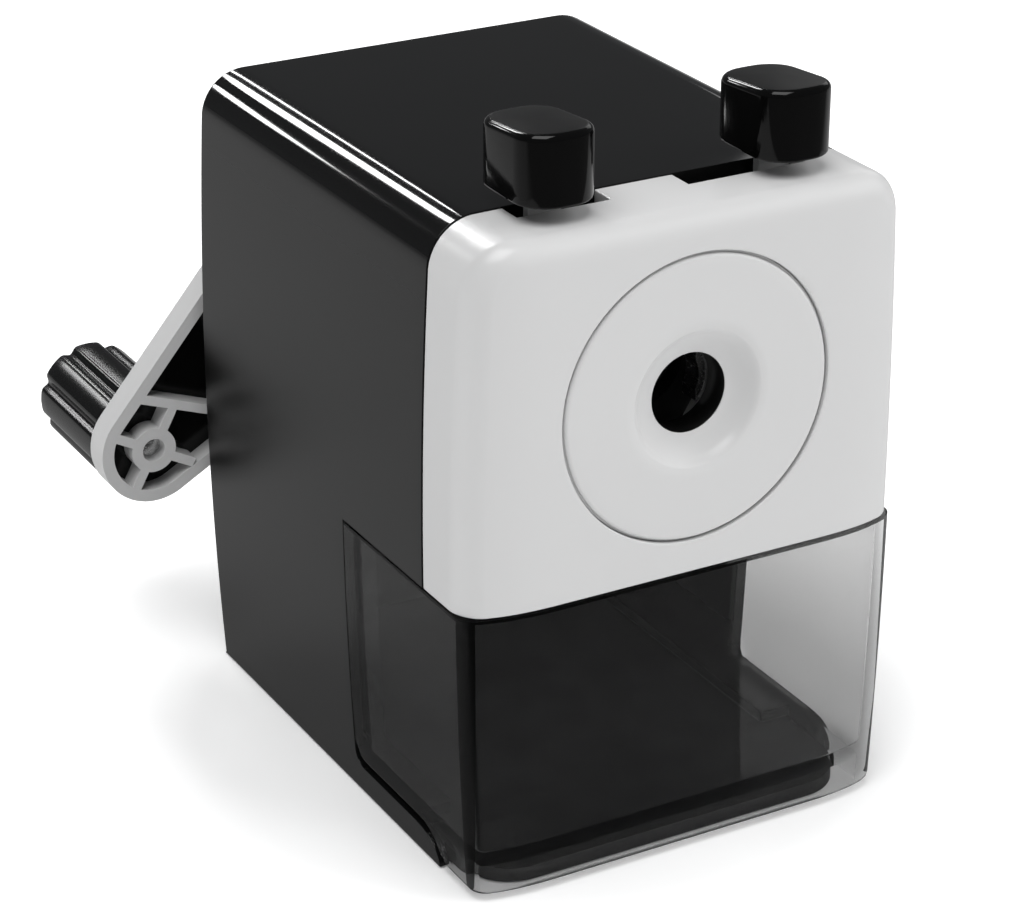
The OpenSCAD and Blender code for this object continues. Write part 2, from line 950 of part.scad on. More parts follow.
// The narrower rear part of the drawer, which runs inside the housing
module drawer_tail(inset, y0, y1, z0, z1) {
  intersection() {
    section_block(inset, y0, y1, 0);
    translate([-body_w, y0, z0])
      cube([2 * body_w, y1 - y0, z1 - z0]);
  }
}

// Rib under the shelf that the drawer's back wall meets when it is pushed in
module drawer_stop() {
  color("#8b8d90")
    translate([-9, 24.4, shelf_z - 2.6])
      cube([18, 1.6, 2.6]);
}

// ---------------------------------------------------------------- assembly

housing();
base_plate();
rubber_feet();
base_screws();
inner_frame();
frame_screws();
ring_gear();
gear_screws();
rear_bush();
crank_shaft();
crank_arm();
arm_cover();
crank_screw();
cutter_carrier();
cutter_pin();
helical_cutter();
cutter_pinion();
knob_pin();
crank_knob();
knob_plug();
front_cover();
face_disc();
disc_clip();
carriage_plate();
cover_screws();
guide_rods();
rod_clips();
carriage_springs();
pivot_pin();
lever_spring();
lever_left();
lever_right();
jaw_left();
jaw_right();
pinch_knob_left();
pinch_knob_right();
drawer();
drawer_stop();
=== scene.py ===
"""Pencil sharpener: the looks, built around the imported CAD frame.

Shapes are worked out in millimetres and become objects in metres. +Z is up and the front faces -Y.
"""

import json
from math import cos, hypot, log, pi, radians, sin, sqrt

import bmesh
import bpy
from mathutils import Matrix, Vector


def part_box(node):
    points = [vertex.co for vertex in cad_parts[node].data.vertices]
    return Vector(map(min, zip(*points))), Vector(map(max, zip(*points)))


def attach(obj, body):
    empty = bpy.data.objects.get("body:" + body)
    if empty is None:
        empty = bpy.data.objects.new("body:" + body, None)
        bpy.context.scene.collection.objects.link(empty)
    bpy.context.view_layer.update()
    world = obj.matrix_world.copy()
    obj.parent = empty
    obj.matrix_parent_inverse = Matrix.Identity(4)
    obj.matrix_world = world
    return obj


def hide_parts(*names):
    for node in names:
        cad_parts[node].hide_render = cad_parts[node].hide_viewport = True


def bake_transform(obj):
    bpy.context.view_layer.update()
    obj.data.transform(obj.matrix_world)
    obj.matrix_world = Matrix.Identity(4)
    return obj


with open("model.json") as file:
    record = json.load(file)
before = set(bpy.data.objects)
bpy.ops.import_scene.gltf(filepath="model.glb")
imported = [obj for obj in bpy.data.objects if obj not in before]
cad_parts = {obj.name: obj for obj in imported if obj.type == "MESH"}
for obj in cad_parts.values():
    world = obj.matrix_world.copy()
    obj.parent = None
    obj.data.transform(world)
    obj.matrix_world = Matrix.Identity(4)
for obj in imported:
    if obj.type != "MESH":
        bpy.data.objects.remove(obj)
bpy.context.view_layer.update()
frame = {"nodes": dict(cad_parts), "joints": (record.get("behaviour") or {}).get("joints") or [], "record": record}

MM = 0.001


def box(node):
    """Lowest and highest corner of a CAD node at rest, in millimetres."""
    low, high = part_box(node)
    return low / MM, high / MM


joint_at = {j["name"]: Vector(j["pos_m"]) / MM for j in frame["joints"] if "pos_m" in j}

# -------------------- sizes, in millimetres

housing_low, housing_high = box("housing")
cover_low = box("front_cover")[0]
drawer_low, drawer_high = box("drawer")
disc_back = box("face_disc")[1].y
grip_low, grip_high = box("crank_knob")

BODY_W = housing_high.x - housing_low.x
BODY_H = housing_high.z
BASE_Z = housing_low.z
BACK_Y = housing_high.y
FRONT_Y = -BACK_Y
FACE_Y = cover_low.y
AXIS_Z = joint_at["crank_turn"].z
SPLIT_Z = cover_low.z
GAP = 0.3  # between housing and moving parts
WALL = 2.0
SIDE_BOW = 1.5
TOP_R = 6.5
CORNER_Z = BODY_H - TOP_R
REAR_R = 0.8

SEAM_Y = FRONT_Y + 10.2  # between cover and housing
SEAM_CROWN = 0.7
WINDOW_Y = FRONT_Y + 32.7  # rear end of the drawer's opening in the sides
WINDOW_R = 2.2
SILL_Z = drawer_low.z + 3.55
SILL_FRONT = FRONT_Y + 15
SILL_REACH = 6.2  # length of the sill's rounded nose

FACE_FLAT = 18.0  # half the width of the flat middle of the front
COVER_R = 3.0
COVER_WALL = 1.8
NOTCH_LEFT_IN, NOTCH_RIGHT_IN, NOTCH_OUT = 7.6, 3.7, 20.7  # sides of the knobs' notches
NOTCH_Y = FRONT_Y + 6.9
COVER_SCREWS = ((27, 58), (27, 73))

DISC_R = 19.1
HOLE_R = 5.3
DISH_R = 9.4
DISH_DEPTH = 2.3

BUSH_R = 7.0
DRAWER_WALL = 1.8
SPRING_X, SPRING_Z = 24, 81  # the carriage springs' centre lines


def half_width(z):
    """Half the housing's width at height z: the sides bow out by a hair in the middle."""
    middle = BODY_H / 2
    return BODY_W / 2 - SIDE_BOW * ((z - middle) / middle) ** 2


def face_y(x):
    """The front face seen from above: flat in the middle, curving back towards the edges."""
    edge = max(abs(x) - FACE_FLAT, 0) / (BODY_W / 2 - FACE_FLAT)
    return FACE_Y + (FRONT_Y - FACE_Y) * edge**3


def top_seam_y(x):
    """Rear edge of the cover's top, which reaches furthest back in the middle."""
    return SEAM_Y + SEAM_CROWN * (1 - (x / (BODY_W / 2)) ** 2)


def seam_at(station, x, gap):
    """Edge along the seam; gap is added on the top and fades out round the corner to the sides."""
    kind, value = station[:2]
    if kind == "side":
        return SEAM_Y
    share = value / 90 if kind == "corner" else 1
    return SEAM_Y + (top_seam_y(x) - SEAM_Y + gap) * share


def spread(start, end, count):
    """count + 1 evenly spaced values from start to end."""
    return [start + (end - start) * i / count for i in range(count + 1)]


def full_turn(count):
    """count evenly spaced angles round a circle, in radians."""
    return [2 * pi * i / count for i in range(count)]


def quarter_round(radius, angle):
    """How far an arc has come one way, and how far it has still to go the other, at degrees."""
    return radius * (1 - cos(radians(angle))), radius * (1 - sin(radians(angle)))


# -------------------- mesh helpers


def row_of(bm, points):
    """A vertex at each point."""
    return [bm.verts.new(p) for p in points]


def skin(bm, rows, closed=False, skip=None):
    """Quads between neighbouring rows of vertices, except where skip(row, column) is true."""
    for r in range(len(rows) - 1):
        count = len(rows[r])
        for c in range(count if closed else count - 1):
            if skip and skip(r, c):
                continue
            n = (c + 1) % count
            corners = [rows[r][c], rows[r][n], rows[r + 1][n], rows[r + 1][c]]
            if len(set(corners)) == 4:
                bm.faces.new(corners)


def cap(bm, row, point):
    """A fan from a closed row of vertices to one point."""
    tip = bm.verts.new(point)
    for i in range(len(row)):
        bm.faces.new((row[i], row[(i + 1) % len(row)], tip))


def lathe(bm, profile, centre, axis="y", steps=96, closed=True):
    """Turns a profile of (radius, place along the axis) about an axis through centre."""
    rows = []
    for radius, along in profile:
        row = []
        for a in full_turn(steps):
            u, v = radius * cos(a), radius * sin(a)
            offset = (u, along, v) if axis == "y" else (u, v, along)
            row.append(bm.verts.new(Vector(centre) + Vector(offset)))
        rows.append(row)
    skin(bm, rows + [rows[0]] if closed else rows, closed=True)
    return rows


def solid_lathe(bm, profile, centre, axis="y", steps=64):
    """Like lathe, for a solid piece: both ends are closed on the axis."""
    rows = lathe(bm, profile, centre, axis, steps, closed=False)
    for row, along in ((rows[0], profile[0][1]), (rows[-1], profile[-1][1])):
        offset = (0, along, 0) if axis == "y" else (0, 0, along)
        cap(bm, row, Vector(centre) + Vector(offset))


def face_out(bm):
    """Makes the faces of closed shells look outward."""
    bmesh.ops.recalc_face_normals(bm, faces=bm.faces)


def outward(bm):
    """Makes the faces of an open shell look away from its middle."""
    face_out(bm)
    middle = sum((v.co for v in bm.verts), Vector()) / len(bm.verts)
    lean = sum((f.normal.dot(f.calc_center_median() - middle) * f.calc_area() for f in bm.faces))
    if lean < 0:
        bmesh.ops.reverse_faces(bm, faces=bm.faces)


def drop_loose(bm):
    loose = [v for v in bm.verts if not v.link_faces]
    bmesh.ops.delete(bm, geom=loose, context="VERTS")


def soften(obj, width, angle=38):
    """Small rounding of the sharp edges, with smooth shading between them."""
    bevel = obj.modifiers.new("edges", "BEVEL")
    bevel.width = width * MM
    bevel.segments = 2
    bevel.limit_method = "ANGLE"
    bevel.angle_limit = radians(angle)
    bevel.use_clamp_overlap = True
    weighted = obj.modifiers.new("shading", "WEIGHTED_NORMAL")
    weighted.keep_sharp = True


def smooth(mesh, angle=35):
    mesh.shade_smooth()
    mesh.set_sharp_from_angle(angle=radians(angle))


def piece(name, bm, body, slot, nodes=(), material=None, edge=0.0, wall=0.0, smooth_angle=35):
    """Makes an object in metres from a mesh in millimetres, on its body and for its CAD nodes.

    It gets the material of its slot, unless material names another.
    """
    drop_loose(bm)
    mesh = bpy.data.meshes.new(name)
    bmesh.ops.scale(bm, vec=(MM, MM, MM), verts=bm.verts)
    bm.to_mesh(mesh)
    bm.free()
    obj = bpy.data.objects.new(name, mesh)
    bpy.context.scene.collection.objects.link(obj)
    obj.data.materials.append(MATERIALS[material or slot])
    smooth(mesh, smooth_angle)
    if wall:
        solid = obj.modifiers.new("wall", "SOLIDIFY")
        solid.thickness = wall * MM
        solid.offset = -1
        solid.use_even_offset = True
    if edge:
        soften(obj, edge)
    if body:
        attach(obj, body)
    if nodes:
        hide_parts(*nodes)
    return obj


# -------------------- materials


def new_material(name):
    mat = bpy.data.materials.new(name)
    mat.use_nodes = True
    tree = mat.node_tree
    return mat, tree, tree.nodes["Principled BSDF"]


def connect(tree, socket, value):
    """Gives an input socket another node's output or a fixed value."""
    if isinstance(value, bpy.types.NodeSocket):
        tree.links.new(value, socket)
    else:
        socket.default_value = value


def calculate(tree, operation, first, second):
    """One step of arithmetic on two sockets or numbers."""
    node = tree.nodes.new("ShaderNodeMath")
    node.operation = operation
    connect(tree, node.inputs[0], first)
    connect(tree, node.inputs[1], second)
    return node.outputs["Value"]


def mixed(tree, share, first, second, kind="FLOAT"):
    """From first at share 0 to second at share 1; kind is FLOAT or RGBA."""
    node = tree.nodes.new("ShaderNodeMix")
    node.data_type = kind
    tree.links.new(share, node.inputs["Factor"])
    if kind == "RGBA":
        ends = [socket for socket in node.inputs if socket.type == kind]
        result = [socket for socket in node.outputs if socket.type == kind][0]
    else:
        ends = [node.inputs["A"], node.inputs["B"]]
        result = node.outputs["Result"]
    connect(tree, ends[0], first)
    connect(tree, ends[1], second)
    return result


def own_place(tree):
    """Each point's place in its object's own space, in metres."""
    return tree.nodes.new("ShaderNodeTexCoord").outputs["Object"]


def split(tree, vector):
    """The X, Y and Z of a vector, as sockets by name."""
    node = tree.nodes.new("ShaderNodeSeparateXYZ")
    tree.links.new(vector, node.inputs["Vector"])
    return node.outputs


def noise(tree, scale, detail=3.0, stretch=(1, 1, 1), rough=0.5):
    """Solid noise in the object's own space; scale is in features per metre."""
    mapping = tree.nodes.new("ShaderNodeMapping")
    mapping.inputs["Scale"].default_value = stretch
    texture = tree.nodes.new("ShaderNodeTexNoise")
    texture.inputs["Scale"].default_value = scale
    texture.inputs["Detail"].default_value = detail
    texture.inputs["Roughness"].default_value = rough
    tree.links.new(own_place(tree), mapping.inputs["Vector"])
    tree.links.new(mapping.outputs["Vector"], texture.inputs["Vector"])
    return texture.outputs["Fac"]


def between(tree, source, low, high, start=0.3, end=0.7):
    """Spreads a 0 to 1 source over low to high."""
    spreader = tree.nodes.new("ShaderNodeMapRange")
    spreader.inputs["From Min"].default_value = start
    spreader.inputs["From Max"].default_value = end
    spreader.inputs["To Min"].default_value = low
    spreader.inputs["To Max"].default_value = high
    tree.links.new(source, spreader.inputs["Value"])
    return spreader.outputs["Result"]


def shades(tree, source, dark, light):
    """A colour between two shades, chosen by a 0 to 1 source."""
    ramp = tree.nodes.new("ShaderNodeValToRGB")
    ramp.color_ramp.elements[0].position = 0.3
    ramp.color_ramp.elements[0].color = (*dark, 1)
    ramp.color_ramp.elements[1].position = 0.7
    ramp.color_ramp.elements[1].color = (*light, 1)
    tree.links.new(source, ramp.inputs["Fac"])
    return ramp.outputs["Color"]


def bump(tree, shader, source, strength, depth):
    """Relief of the given depth in metres."""
    node = tree.nodes.new("ShaderNodeBump")
    node.inputs["Strength"].default_value = strength
    node.inputs["Distance"].default_value = depth
    tree.links.new(source, node.inputs["Height"])
    tree.links.new(node.outputs["Normal"], shader.inputs["Normal"])


def grey(value):
    return (value, value, value)


def times(colour, factor):
    return tuple(min(c * factor, 1) for c in colour)


def moulded(
    name, colour, gloss, grain_scale=900, grain=0.05, specular=0.5, cloud=0.06, wear=0.2, satin=None
):
    """Injection-moulded plastic: faint clouding, slightly uneven gloss and a fine skin.

    satin is (facing axis, lowest, highest, roughness): faces that look that way are less glossy.
    """
    mat, tree, shader = new_material(name)
    clouds = noise(tree, 55, detail=4)
    colours = shades(tree, clouds, times(colour, 1 - cloud), times(colour, 1 + cloud))
    tree.links.new(colours, shader.inputs["Base Color"])
    rubbed = noise(tree, 160, detail=5, stretch=(1, 1, 2.5))
    roughness = between(tree, rubbed, gloss * (1 - wear), gloss * (1 + wear))
    if satin:
        axis, low, high, dull = satin
        facing = tree.nodes.new("ShaderNodeNewGeometry").outputs["Normal"]
        share = between(tree, split(tree, facing)[axis], 0, 1, low, high)
        roughness = mixed(tree, share, roughness, dull)
    tree.links.new(roughness, shader.inputs["Roughness"])
    bump(tree, shader, noise(tree, grain_scale, detail=2), grain, 0.00005)
    shader.inputs["Specular IOR Level"].default_value = specular
    return mat


def painted_bore_shade(mat):
    """Paints shade into the wall of the pencil hole: black, up to its sharp rim."""
    tree = mat.node_tree
    colour = tree.nodes["Principled BSDF"].inputs["Base Color"]
    flat = tree.nodes.new("ShaderNodeVectorMath")
    flat.operation = "MULTIPLY"
    flat.inputs[1].default_value = (1, 0, 1)
    tree.links.new(own_place(tree), flat.inputs[0])
    reach = tree.nodes.new("ShaderNodeVectorMath")
    reach.operation = "DISTANCE"
    reach.inputs[1].default_value = (0, 0, AXIS_Z * MM)
    tree.links.new(flat.outputs["Vector"], reach.inputs[0])
    # painted shade: black inside the pencil hole's radius
    inside = calculate(tree, "LESS_THAN", reach.outputs["Value"], (HOLE_R + 0.08) * MM)
    outer = colour.links[0].from_socket
    tree.links.new(mixed(tree, inside, outer, (*grey(0.004), 1), "RGBA"), colour)
    return mat


def steel(name, colour, gloss, stretch=(1, 1, 1)):
    """Bright drawn or turned steel with fine tool marks across its stretch."""
    mat, tree, shader = new_material(name)
    shader.inputs["Metallic"].default_value = 1.0
    marks = noise(tree, 700, detail=4, stretch=stretch)
    colours = shades(tree, marks, times(colour, 0.86), times(colour, 1.08))
    tree.links.new(colours, shader.inputs["Base Color"])
    tree.links.new(between(tree, marks, gloss * 0.7, gloss * 1.4), shader.inputs["Roughness"])
    bump(tree, shader, marks, 0.12, 0.00003)
    return mat


def cast(name, colour):
    """Die-cast zinc: a dull, slightly pitted skin."""
    mat, tree, shader = new_material(name)
    shader.inputs["Metallic"].default_value = 0.9
    pits = noise(tree, 420, detail=6, rough=0.65)
    colours = shades(tree, pits, times(colour, 0.8), times(colour, 1.1))
    tree.links.new(colours, shader.inputs["Base Color"])
    tree.links.new(between(tree, pits, 0.34, 0.56), shader.inputs["Roughness"])
    bump(tree, shader, pits, 0.35, 0.00008)
    return mat


def rubber(name):
    mat, tree, shader = new_material(name)
    dust = noise(tree, 300, detail=6)
    tree.links.new(shades(tree, dust, grey(0.018), grey(0.045)), shader.inputs["Base Color"])
    tree.links.new(between(tree, dust, 0.7, 0.95), shader.inputs["Roughness"])
    bump(tree, shader, noise(tree, 1500, detail=3), 0.3, 0.0001)
    return mat


def painted_edge_shade(tree):
    """1 on the drawer's upper rim, as painted shadow of the gap under the cover, and round its front corners, as a
    painted dark band of refraction, and 0 elsewhere.
    """
    rim_height, corner_width, corner_depth = 0.4, 1.7, 1.3
    at = split(tree, own_place(tree))
    rim = calculate(tree, "GREATER_THAN", at["Z"], (drawer_high.z - rim_height) * MM)
    reach = calculate(tree, "ABSOLUTE", at["X"], 0.0)
    beside = calculate(tree, "GREATER_THAN", reach, (BODY_W / 2 - corner_width) * MM)
    ahead = calculate(tree, "LESS_THAN", at["Y"], (FRONT_Y + corner_depth) * MM)
    return calculate(tree, "MAXIMUM", rim, calculate(tree, "MULTIPLY", beside, ahead))


def smoked(name, tint, wall_tint):
    """Clear smoked plastic that also lets the lamps' light through, with painted black shade on its rim and front
    corners.

    tint colours each surface, and wall_tint is the share of light that passes through one wall.
    """
    mat, tree, shader = new_material(name)
    shader.inputs["Transmission Weight"].default_value = 1.0
    shader.inputs["IOR"].default_value = 1.06
    shader.inputs["Coat Weight"].default_value = 0.36
    shader.inputs["Coat IOR"].default_value = 1.45
    shader.inputs["Coat Roughness"].default_value = 0.02
    haze = noise(tree, 45, detail=3)
    clear_part = shades(tree, haze, times(tint, 0.97), tint)
    # painted shade: near black on the rim and front corners
    colour = mixed(tree, painted_edge_shade(tree), clear_part, (*grey(0.02), 1), "RGBA")
    tree.links.new(colour, shader.inputs["Base Color"])
    tree.links.new(between(tree, haze, 0.01, 0.03), shader.inputs["Roughness"])
    lamp_rays = tree.nodes.new("ShaderNodeLightPath")
    clear = tree.nodes.new("ShaderNodeBsdfTransparent")
    clear.inputs["Color"].default_value = (*grey(0.5), 1)
    absorb = tree.nodes.new("ShaderNodeVolumeAbsorption")
    absorb.inputs["Color"].default_value = (*grey(0), 1)
    absorb.inputs["Density"].default_value = -log(wall_tint) / (DRAWER_WALL * MM)
    lamps_pass = tree.nodes.new("ShaderNodeMixShader")
    output = tree.nodes["Material Output"]
    tree.links.new(lamp_rays.outputs["Is Shadow Ray"], lamps_pass.inputs["Fac"])
    tree.links.new(shader.outputs["BSDF"], lamps_pass.inputs[1])
    tree.links.new(clear.outputs["BSDF"], lamps_pass.inputs[2])
    tree.links.new(lamps_pass.outputs["Shader"], output.inputs["Surface"])
    tree.links.new(absorb.outputs["Volume"], output.inputs["Volume"])
    return mat


MATERIALS = {
    "housing_black": moulded(
        "gloss_black", grey(0.004), 0.07, grain=0.01, specular=0.34, wear=0.05,
        satin=("Z", 0.3, 0.02, 0.3),
    ),
    "base_black": moulded("matt_black", grey(0.012), 0.5, grain=0.3, grain_scale=2200),
    "foot_rubber": rubber("foot_rubber"),
    "frame_grey": moulded("frame_grey", grey(0.012), 0.45, grain=0.2, grain_scale=1800),
    "cover_grey": moulded("cover_grey", grey(0.58), 0.3, grain=0.03, cloud=0.004, wear=0.03),
    # the plate's grey, with painted shade on the wall of the pencil hole
    "plate_grey": painted_bore_shade(
        moulded("plate_grey", grey(0.58), 0.3, grain=0.03, cloud=0.004, wear=0.03)
    ),
    "crank_grey": moulded("crank_grey", grey(0.56), 0.3, grain=0.05, cloud=0.004, wear=0.03),
    "lever_grey": moulded("lever_grey", grey(0.5), 0.32, grain=0.08),
    "knob_black": moulded(
        "knob_black", grey(0.002), 0.1, grain=0.01, specular=0.22, wear=0.05,
        satin=("Z", 0.93, 0.985, 0.4),
    ),
    "handle_black": moulded("handle_black", grey(0.003), 0.2, grain=0.001, specular=0.3, wear=0.03),
    "drawer_smoke": smoked("drawer_smoke", grey(0.92), 0.81),
    "bright_steel": steel("bright_steel", grey(0.62), 0.22, stretch=(6, 1, 6)),
    "spring_steel": steel("spring_steel", grey(0.5), 0.3),
    "cast_zinc": cast("cast_zinc", (0.46, 0.46, 0.47)),
    "cutter_steel": steel("cutter_steel", (0.36, 0.37, 0.39), 0.26, stretch=(1, 8, 1)),
    "bush_nylon": moulded("bush_nylon", (0.62, 0.59, 0.5), 0.4, grain=0.15),
}

# -------------------- housing


def section_stations(z_levels, corner_steps, top_xs):
    """Stations round the section, from the lower left edge over the top to the lower right edge."""
    right = [("side", z) for z in z_levels]
    right += [("corner", 90 * i / corner_steps) for i in range(1, corner_steps)]
    right += [("top", x) for x in sorted(top_xs, reverse=True)]
    left = [(kind, value, -1) for kind, value in right if (kind, value) != ("top", 0)]
    return left + [(kind, value, 1) for kind, value in reversed(right)]


CORNER_X = half_width(CORNER_Z) - TOP_R


def place(station, inset):
    """Where a station is in X and Z, on the section drawn in by inset."""
    kind, value, side = station
    if kind == "side":
        x, z = half_width(value) - inset, value
    elif kind == "corner":
        x = CORNER_X + (TOP_R - inset) * cos(radians(value))
        z = CORNER_Z + (TOP_R - inset) * sin(radians(value))
    else:
        x, z = value, BODY_H - inset
    return side * x, z


def fill_to_circle(bm, loop, centre_z, radius, y_at, rings):
    """Fills between a closed loop of vertices and a circle about the pencil's axis."""
    rows = [loop]
    for k in range(1, rings + 1):
        share = k / rings
        row = []
        for v in loop:
            x, z = v.co.x, v.co.z - centre_z
            reach = radius / hypot(x, z)
            px, pz = x * (1 - share + share * reach), z * (1 - share + share * reach)
            row.append(bm.verts.new((px, y_at(px), pz + centre_z)))
        rows.append(row)
    skin(bm, rows, closed=True)
    return rows[-1]


def housing_front(station, x, z):
    """Where a station's skin starts at the front, and where the columns behind it start."""
    sill_h = SILL_Z - BASE_Z
    if z <= SILL_Z + 1e-6:
        rise = min((z - BASE_Z) / sill_h, 1)
        return SILL_FRONT - SILL_REACH * sqrt(1 - rise * rise), WINDOW_Y - WINDOW_R
    if z < SPLIT_Z - 1e-6:
        up = min((z - SILL_Z) / WINDOW_R, 1)
        corner = WINDOW_Y - WINDOW_R * (1 - sqrt(1 - (1 - up) ** 2))
        return corner, corner
    return seam_at(station, x, GAP), WINDOW_Y


def housing_shell():
    """Black shell: one skin with rounded rear edges, open below and at the front."""
    bm = bmesh.new()
    sill = [BASE_Z + (SILL_Z - BASE_Z) * sin(radians(a)) for a in range(0, 91, 15)]
    window = [SILL_Z + quarter_round(WINDOW_R, a)[0] for a in range(18, 91, 18)]
    levels = sill + window + spread(window[-1], SPLIT_Z, 10)[1:] + spread(SPLIT_Z, CORNER_Z, 12)[1:]
    stations = section_stations(levels, 12, spread(0, CORNER_X, 10))
    front_cells, side_cells, turn_cells = 8, 14, 6
    rows = []
    for station in stations:
        x, z = place(station, 0)
        start, rear = housing_front(station, x, z)
        ys = spread(start, rear, front_cells) + spread(rear, BACK_Y - REAR_R, side_cells)[1:]
        row = row_of(bm, [(x, y, z) for y in ys])
        for a in spread(0, 90, turn_cells)[1:]:
            inset, left = quarter_round(REAR_R, a)
            x, z = place(station, inset)
            row.append(bm.verts.new((x, BACK_Y - left, z)))
        rows.append(row)
    heights = [place(s, 0)[1] for s in stations]

    def in_window(r, c):
        low, high = sorted((heights[r], heights[r + 1]))
        return c < front_cells and low >= SILL_Z - 1e-6 and high <= SPLIT_Z + 1e-6

    skin(bm, rows, skip=in_window)
    left, right = rows[0][-1].co.x, rows[-1][-1].co.x
    below = row_of(bm, [(x, BACK_Y, BASE_Z) for x in spread(right, left, 24)[1:-1]])
    fill_to_circle(bm, [r[-1] for r in rows] + below, AXIS_Z, BUSH_R, lambda x: BACK_Y, 6)
    drop_loose(bm)
    outward(bm)
    return piece("housing_shell", bm, "housing", "housing_black", ["housing"], edge=0.3, wall=WALL)


def block(bm, low, high):
    """A box between two corners."""
    low, high = Vector(low), Vector(high)
    made = bmesh.ops.create_cube(bm, size=1)["verts"]
    bmesh.ops.scale(bm, vec=high - low, verts=made)
    bmesh.ops.translate(bm, vec=(low + high) / 2, verts=made)


def housing_ribs():
    """Ledges inside the side walls, the rear posts and the springs' anchor pins."""
    bm = bmesh.new()
    rear = BACK_Y - WALL
    ledge_in, post_in = 24.4, 24
    post_front, post_top = 27, 10
    drawer_ledge = (FRONT_Y + 17, 2.25, SILL_Z)
    cover_ledge = (-19, SPLIT_Z, SPLIT_Z + 1.2)
    pin = [(2.2, 33), (2.5, 33.3), (2.5, rear + 0.1)]

    def rib(side, inner, outer, front, low, high):
        left, right = sorted((side * inner, side * outer))
        block(bm, (left, front, low), (right, rear, high))

    for side in (-1, 1):
        for front, low, high in (drawer_ledge, cover_ledge):
            rib(side, ledge_in, half_width(low) - WALL + 0.1, front, low, high)
        rib(side, post_in, half_width(8) - WALL + 0.1, post_front, SILL_Z, post_top)
        solid_lathe(bm, pin, (side * SPRING_X, 0, SPRING_Z), steps=32)
    return piece("housing_ribs", bm, "housing", "housing_black", edge=0.25)


# -------------------- front cover and round plate


def cover_shell():
    """Grey shell: a curved face round the plate's opening, soft edges, and a strip behind them."""
    bm = bmesh.new()
    top_xs = spread(0, NOTCH_RIGHT_IN, 3) + spread(NOTCH_RIGHT_IN, NOTCH_LEFT_IN, 3)[1:]
    top_xs += spread(NOTCH_LEFT_IN, NOTCH_OUT, 9)[1:] + spread(NOTCH_OUT, CORNER_X, 3)[1:]
    stations = section_stations(spread(SPLIT_Z, CORNER_Z, 24), 12, top_xs)
    face = []
    for station in stations:
        x, z = place(station, COVER_R)
        face.append(bm.verts.new((x, face_y(x), z)))
    left, right = face[0].co.x, face[-1].co.x
    below = row_of(bm, [(x, face_y(x), SPLIT_Z) for x in spread(right, left, 40)[1:-1]])
    fill_to_circle(bm, face + below, AXIS_Z, DISC_R + 0.4, face_y, 12)
    rows = [face]
    for a in spread(0, 90, 8)[1:]:
        row = []
        for station in stations:
            back, inset = quarter_round(COVER_R, a)
            x, z = place(station, inset)
            row.append(bm.verts.new((x, face_y(x) + back, z)))
        rows.append(row)
    for share in spread(0, 1, 4)[1:]:
        row = []
        for station in stations:
            x, z = place(station, 0)
            start = face_y(x) + COVER_R
            row.append(bm.verts.new((x, start + (NOTCH_Y - start) * share, z)))
        rows.append(row)
    notch_row = len(rows) - 1
    for share in (0.5, 1.0):
        row = []
        for station in stations:
            x, z = place(station, 0)
            seam = seam_at(station, x, GAP) - GAP
            row.append(bm.verts.new((x, NOTCH_Y + (seam - NOTCH_Y) * share, z)))
        rows.append(row)

    def in_notch(r, c):
        if r < notch_row or stations[c][0] != "top" or stations[c + 1][0] != "top":
            return False
        middle = (rows[r][c].co.x + rows[r][c + 1].co.x) / 2
        inner = NOTCH_RIGHT_IN if middle > 0 else NOTCH_LEFT_IN
        return inner < abs(middle) < NOTCH_OUT

    skin(bm, rows, skip=in_notch)
    drop_loose(bm)
    outward(bm)
    return piece(
        "cover_shell", bm, "carriage", "cover_grey", ["front_cover"], edge=0.25, wall=COVER_WALL
    )


def cover_posts():
    """Four tapered posts on the back of the cover, for the carriage plate's screws."""
    bm = bmesh.new()
    rear = box("carriage_plate")[0].y
    for x, z in COVER_SCREWS:
        post = [(3.2, face_y(x) + COVER_WALL - 0.4), (2.6, rear - 0.3), (2.3, rear)]
        for side in (-1, 1):
            solid_lathe(bm, post, (side * x, 0, z), steps=32)
    return piece("cover_posts", bm, "carriage", "cover_grey")


def round_plate():
    """Flat plate with a soft edge, a dish that eases into the pencil hole, and a neck behind."""
    edge_r, edge_depth = 0.5, 0.65
    flange_r, groove_r = DISC_R + 2, DISC_R + 0.3
    flange_front, flange_back = 2.2, 3.7
    neck_r, chamfer = 7, 0.3
    back = disc_back - FACE_Y
    profile = [(flange_r, flange_back), (flange_r, flange_front), (groove_r, flange_front)]
    profile += [(groove_r, edge_depth + 0.1), (DISC_R, edge_depth)]
    profile += [
        (DISC_R - edge_r + edge_r * cos(radians(a)), edge_r - edge_r * sin(radians(a)))
        for a in spread(0, 90, 5)
    ]
    profile += [(r, 0) for r in spread(DISC_R - edge_r, DISH_R, 7)[1:]]
    for t in spread(0, 1, 18)[1:]:
        ease = t * (2 - t) * min(0.45 + 2.2 * t, 1)
        profile.append((DISH_R + (HOLE_R + 0.15 - DISH_R) * t, DISH_DEPTH * ease))
    profile += [(HOLE_R, DISH_DEPTH + 0.2), (HOLE_R, back - chamfer), (HOLE_R + chamfer, back)]
    profile += [(neck_r - chamfer, back), (neck_r, back - chamfer), (neck_r, flange_back)]
    bm = bmesh.new()
    lathe(bm, [(r, FACE_Y + d) for r, d in profile], (0, 0, AXIS_Z), steps=160)
    face_out(bm)
    return piece(
        "round_plate", bm, "carriage", "cover_grey", ["face_disc"], "plate_grey", smooth_angle=50
    )


# -------------------- pinch knobs


